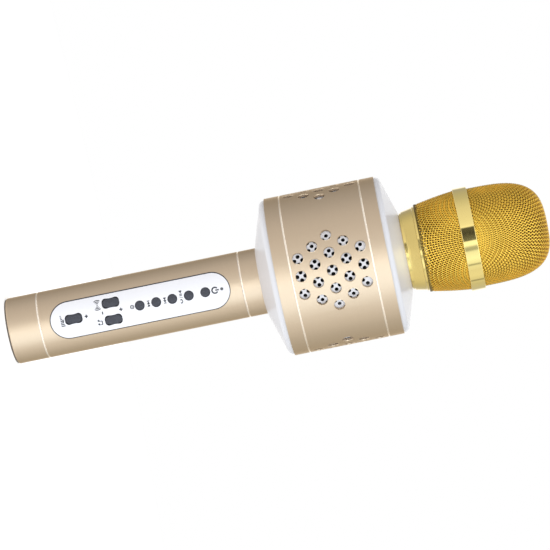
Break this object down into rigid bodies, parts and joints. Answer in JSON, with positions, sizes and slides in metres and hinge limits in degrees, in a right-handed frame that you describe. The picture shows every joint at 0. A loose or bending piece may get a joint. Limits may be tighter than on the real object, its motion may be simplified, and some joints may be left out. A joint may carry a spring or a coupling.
{
  "type": "karaoke microphone",
  "caption": "Wireless karaoke microphone: aluminium handle with key panel, perforated speaker drum and screw-off wire basket with foam windscreen.",
  "frame": {"origin": "centre of the flat end of the handle, where the end cap's face meets the axis", "axes": "+Z along the microphone from handle end to basket, -Y out of the key panel, +X to the right when looking at the panel with the basket up"},
  "size_m": [0.0802, 0.0802, 0.275],
  "materials": {
    "champagne_aluminium": "satin champagne anodised with bright-cut grooves",
    "cap_plastic": "fine matte moulding",
    "circuit_board": "solder-masked laminate",
    "plated_steel": "nickel plated",
    "black_plastic": "fine matte moulding",
    "battery_wrap": "shrink-wrapped",
    "led_chip": "clear moulded",
    "panel_plastic": "glossy white",
    "lens_plastic": "smoked",
    "key_rubber": "soft-touch, speckled",
    "shoulder_plastic": "glossy white",
    "screen_plastic": "silvery",
    "magnet": "ferrite and plated plates",
    "cone_paper": "coated paper with rubber edge",
    "neck_brass": "turned",
    "mount_rubber": "matte",
    "capsule_shell": "satin",
    "gold_plate": "polished gold plate",
    "gold_mesh": "woven gold-plated wire",
    "foam": "open-cell foam"
  },
  "bodies": {
    "body": {"end_cap": "cap_plastic", "port_board": "circuit_board", "usb_socket": "plated_steel", "audio_jack": "black_plastic", "handle_tube": "champagne_aluminium", "inner_chassis": "black_plastic", "battery_cell": "battery_wrap", "control_board": "circuit_board", "board_screws": "plated_steel", "tact_switches": "plated_steel", "status_led": "led_chip", "control_panel": "panel_plastic", "led_lens": "lens_plastic", "lower_shoulder": "shoulder_plastic", "upper_shoulder": "shoulder_plastic", "drum_sleeve": "champagne_aluminium", "grille_screen": "screen_plastic", "speaker_housing": "black_plastic", "amplifier_board": "circuit_board", "amplifier_screws": "plated_steel", "front_speaker_frame": "plated_steel", "back_speaker_frame": "plated_steel", "front_magnet": "magnet", "back_magnet": "magnet", "speaker_screws": "plated_steel", "neck_ring": "neck_brass", "capsule_mount": "mount_rubber", "capsule": "capsule_shell"},
    "volume_rocker": {"volume_rocker": "key_rubber"},
    "echo_rocker": {"echo_rocker": "key_rubber"},
    "music_rocker": {"music_rocker": "key_rubber"},
    "mode_button": {"mode_button": "key_rubber"},
    "previous_button": {"previous_button": "key_rubber"},
    "next_button": {"next_button": "key_rubber"},
    "play_button": {"play_button": "key_rubber"},
    "power_button": {"power_button": "key_rubber"},
    "front_cone": {"front_cone": "cone_paper"},
    "back_cone": {"back_cone": "cone_paper"},
    "windscreen": {"foam_windscreen": "foam"},
    "basket": {"basket_collar": "gold_plate", "basket_skirt": "gold_mesh", "basket_band": "gold_plate", "basket_dome": "gold_mesh"}
  },
  "joints": [
    {"name": "volume_tilt", "type": "hinge", "parent": "body", "child": "volume_rocker", "pos_m": [0, -0.0152, 0.0341], "axis": [1, 0, 0], "range_deg": [-4, 4], "stiffness_Nm_per_rad": 0.03},
    {"name": "echo_tilt", "type": "hinge", "parent": "body", "child": "echo_rocker", "pos_m": [-0.0043, -0.0147, 0.0537], "axis": [1, 0, 0], "range_deg": [-4, 4], "stiffness_Nm_per_rad": 0.03},
    {"name": "music_tilt", "type": "hinge", "parent": "body", "child": "music_rocker", "pos_m": [0.0043, -0.0147, 0.0537], "axis": [1, 0, 0], "range_deg": [-4, 4], "stiffness_Nm_per_rad": 0.03},
    {"name": "mode_press", "type": "slide", "parent": "body", "child": "mode_button", "axis": [0, 1, 0], "range_m": [0, 0.0005], "stiffness_N_per_m": 400},
    {"name": "previous_press", "type": "slide", "parent": "body", "child": "previous_button", "axis": [0, 1, 0], "range_m": [0, 0.0005], "stiffness_N_per_m": 400},
    {"name": "next_press", "type": "slide", "parent": "body", "child": "next_button", "axis": [0, 1, 0], "range_m": [0, 0.0005], "stiffness_N_per_m": 400},
    {"name": "play_press", "type": "slide", "parent": "body", "child": "play_button", "axis": [0, 1, 0], "range_m": [0, 0.0005], "stiffness_N_per_m": 400},
    {"name": "power_press", "type": "slide", "parent": "body", "child": "power_button", "axis": [0, 1, 0], "range_m": [0, 0.0005], "stiffness_N_per_m": 400},
    {"name": "front_cone_travel", "type": "slide", "parent": "body", "child": "front_cone", "axis": [0, -1, 0], "range_m": [-0.0005, 0.0005], "stiffness_N_per_m": 1200},
    {"name": "back_cone_travel", "type": "slide", "parent": "body", "child": "back_cone", "axis": [0, 1, 0], "range_m": [-0.0005, 0.0005], "stiffness_N_per_m": 1200},
    {"name": "basket_lift", "type": "slide", "parent": "body", "child": "windscreen", "axis": [0, 0, 1], "range_m": [0, 0.009]},
    {"name": "basket_unscrew", "type": "hinge", "parent": "windscreen", "child": "basket", "pos_m": [0, 0, 0.211], "axis": [0, 0, 1], "range_deg": [0, 2160]}
  ],
  "couplings": [
    {"joint": "basket_unscrew", "follows": "basket_lift", "rad_per_m": 4188.8}
  ]
}
